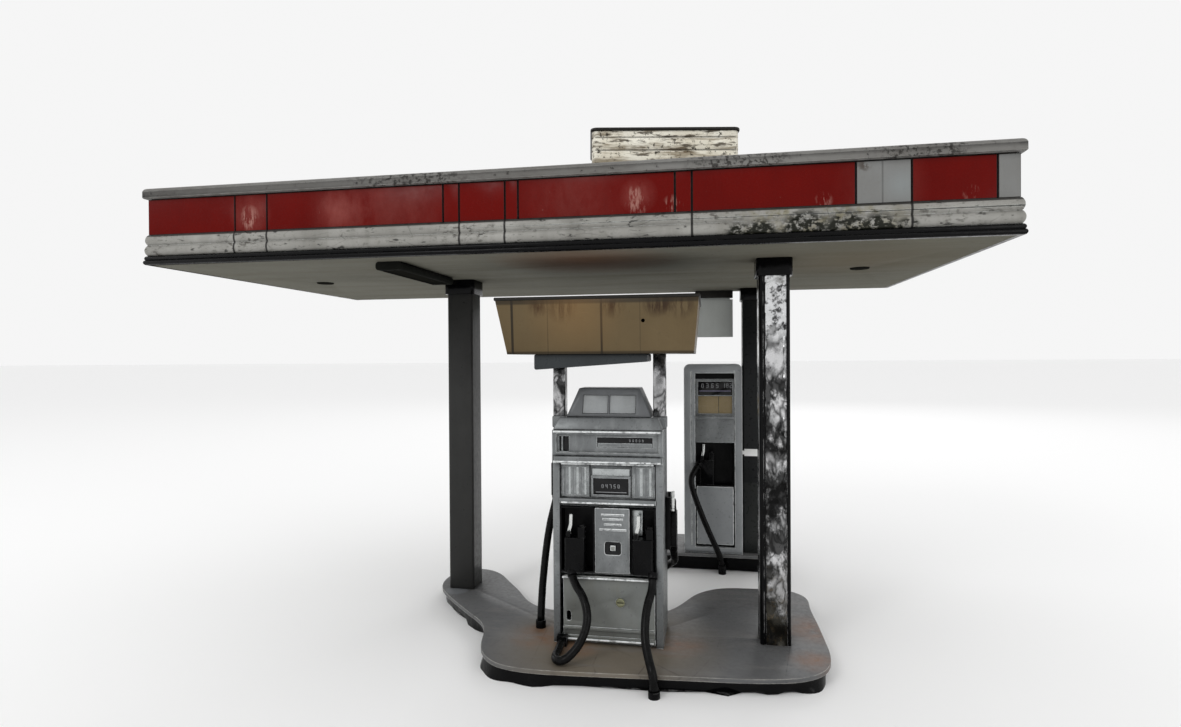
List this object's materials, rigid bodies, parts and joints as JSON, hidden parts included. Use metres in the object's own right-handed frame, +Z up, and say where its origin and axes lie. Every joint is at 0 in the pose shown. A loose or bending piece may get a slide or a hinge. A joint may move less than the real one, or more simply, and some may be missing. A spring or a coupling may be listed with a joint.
{
  "type": "scale model filling station canopy with fuel dispensers",
  "caption": "Scale model of a filling-station forecourt: flat canopy on three columns over two fuel dispensers on raised islands, with hoses, nozzles and a tapered price sign.",
  "frame": {"origin": "on the ground under the middle of the model's box", "axes": "+X along the canopy's long side, +Y away from the front, +Z up"},
  "size_m": [0.411, 0.2326, 0.2725],
  "materials": {
    "slab": "matte, rust tinted",
    "curb": "gloss black",
    "column_grey": "dark grey satin",
    "column_chrome": "worn chrome",
    "column_dark": "near black satin",
    "collar_black": "gloss",
    "tag_white": "white",
    "screw_steel": "zinc plated",
    "canopy_board": "matt",
    "roof_grey": "matt, dusty",
    "soffit": "matt",
    "lamp_dark": "satin",
    "lamp_lens": "diffuser",
    "red_panel": "semi-gloss red, chipped",
    "blank_panel": "semi-gloss",
    "coping": "dirty satin",
    "moulding": "dirty satin",
    "drip_black": "gloss",
    "roof_box": "weathered",
    "trim_dark": "satin",
    "pale_panel": "satin",
    "pump_grey": "silver grey, worn edges",
    "topper_glass": "frosted panes",
    "display": "dark display window",
    "fluted_metal": "bright worn",
    "boot_black": "satin",
    "button_grey": "satin",
    "lock_brass": "dull",
    "post_chrome": "worn chrome",
    "shelf_blue": "satin",
    "sign_tan": "tan, stained",
    "nozzle_black": "satin black",
    "lever_metal": "bright",
    "hose_rubber": "semi-gloss",
    "ferrule": "dull"
  },
  "bodies": {
    "structure": {"front_island_slab": "slab", "front_island_curb": "curb", "rear_island_slab": "slab", "rear_island_curb": "curb", "left_column": "column_grey", "front_right_column": "column_chrome", "rear_right_column": "column_dark", "column_collars": "collar_black", "column_tag_clip": "tag_white", "base_screws": "screw_steel", "canopy_frame": "canopy_board", "roof_deck": "roof_grey", "soffit_panel": "soffit", "soffit_lamp_housing": "lamp_dark", "soffit_lamp_lenses": "lamp_lens", "red_fascia_panels": "red_panel", "blank_fascia_panels": "blank_panel", "coping_rail": "coping", "fascia_moulding": "moulding", "drip_trim": "drip_black", "roof_housing": "roof_box", "roof_housing_trim": "trim_dark", "hanging_panel_rail": "trim_dark", "front_cabinet": "pump_grey", "front_uprights": "pump_grey", "front_shoulder_cap": "pump_grey", "topper_shell": "pump_grey", "topper_windows": "topper_glass", "meter_bezels": "pump_grey", "display_windows": "display", "fluted_panels": "fluted_metal", "nozzle_boots": "boot_black", "centre_panel": "pump_grey", "front_service_door": "pump_grey", "sign_posts": "post_chrome", "sign_shelf": "shelf_blue", "sign_box": "sign_tan", "sign_box_lid": "trim_dark", "rear_cabinet": "pump_grey", "rear_bezel": "pump_grey", "rear_service_door": "pump_grey", "hose_sockets": "ferrule", "front_left_hose": "hose_rubber", "front_right_hose": "hose_rubber", "side_left_hose": "hose_rubber", "side_right_hose": "hose_rubber", "rear_hose": "hose_rubber"},
    "hanging_panel": {"hanging_panel": "pale_panel"},
    "grade_button": {"grade_button": "button_grey"},
    "door_lock": {"door_lock": "lock_brass"},
    "front_left_nozzle_body": {"front_left_nozzle": "nozzle_black"},
    "front_left_trigger_body": {"front_left_trigger": "lever_metal"},
    "front_right_nozzle_body": {"front_right_nozzle": "nozzle_black"},
    "front_right_trigger_body": {"front_right_trigger": "lever_metal"},
    "side_left_nozzle_body": {"side_left_nozzle": "nozzle_black"},
    "side_left_trigger_body": {"side_left_trigger": "lever_metal"},
    "side_right_nozzle_body": {"side_right_nozzle": "nozzle_black"},
    "side_right_trigger_body": {"side_right_trigger": "lever_metal"},
    "rear_nozzle_body": {"rear_nozzle": "nozzle_black"},
    "rear_trigger_body": {"rear_trigger": "lever_metal"}
  },
  "joints": [
    {"name": "hanging_panel_swing", "type": "hinge", "parent": "structure", "child": "hanging_panel", "pos_m": [0.083, 0.089, 0.1954], "axis": [1, 0, 0], "range_deg": [-20, 20]},
    {"name": "grade_button_press", "type": "slide", "parent": "structure", "child": "grade_button", "axis": [0, 1, 0], "range_m": [0, 0.0007], "stiffness_N_per_m": 60},
    {"name": "door_lock_turn", "type": "hinge", "parent": "structure", "child": "door_lock", "pos_m": [0.0351, -0.0828, 0.0297], "axis": [0, 1, 0], "range_deg": [0, 90]},
    {"name": "front_left_nozzle_pull", "type": "slide", "parent": "structure", "child": "front_left_nozzle_body", "axis": [0, -1, 0], "range_m": [0, 0.014], "deforming": ["front_left_hose"]},
    {"name": "front_left_trigger_squeeze", "type": "hinge", "parent": "front_left_nozzle_body", "child": "front_left_trigger_body", "pos_m": [0.0093, -0.0824, 0.0633], "axis": [0, 1, 0], "range_deg": [0, 12], "stiffness_Nm_per_rad": 0.0005},
    {"name": "front_right_nozzle_pull", "type": "slide", "parent": "structure", "child": "front_right_nozzle_body", "axis": [0, -1, 0], "range_m": [0, 0.014], "deforming": ["front_right_hose"]},
    {"name": "front_right_trigger_squeeze", "type": "hinge", "parent": "front_right_nozzle_body", "child": "front_right_trigger_body", "pos_m": [0.0431, -0.0824, 0.0635], "axis": [0, 1, 0], "range_deg": [0, 12], "stiffness_Nm_per_rad": 0.0005},
    {"name": "side_left_nozzle_pull", "type": "slide", "parent": "structure", "child": "side_left_nozzle_body", "axis": [-1, 0, 0], "range_m": [0, 0.014], "deforming": ["side_left_hose"]},
    {"name": "side_left_trigger_squeeze", "type": "hinge", "parent": "side_left_nozzle_body", "child": "side_left_trigger_body", "pos_m": [-0.0023, -0.0546, 0.0963], "axis": [1, 0, 0], "range_deg": [0, 12], "stiffness_Nm_per_rad": 0.0005},
    {"name": "side_right_nozzle_pull", "type": "slide", "parent": "structure", "child": "side_right_nozzle_body", "axis": [1, 0, 0], "range_m": [0, 0.014], "deforming": ["side_right_hose"]},
    {"name": "side_right_trigger_squeeze", "type": "hinge", "parent": "side_right_nozzle_body", "child": "side_right_trigger_body", "pos_m": [0.0599, -0.0614, 0.0717], "axis": [-1, 0, 0], "range_deg": [0, 12], "stiffness_Nm_per_rad": 0.0005},
    {"name": "rear_nozzle_pull", "type": "slide", "parent": "structure", "child": "rear_nozzle_body", "axis": [0, -1, 0], "range_m": [0, 0.014], "deforming": ["rear_hose"]},
    {"name": "rear_trigger_squeeze", "type": "hinge", "parent": "rear_nozzle_body", "child": "rear_trigger_body", "pos_m": [0.074, 0.0698, 0.0799], "axis": [0, 1, 0], "range_deg": [0, 12], "stiffness_Nm_per_rad": 0.0005}
  ]
}
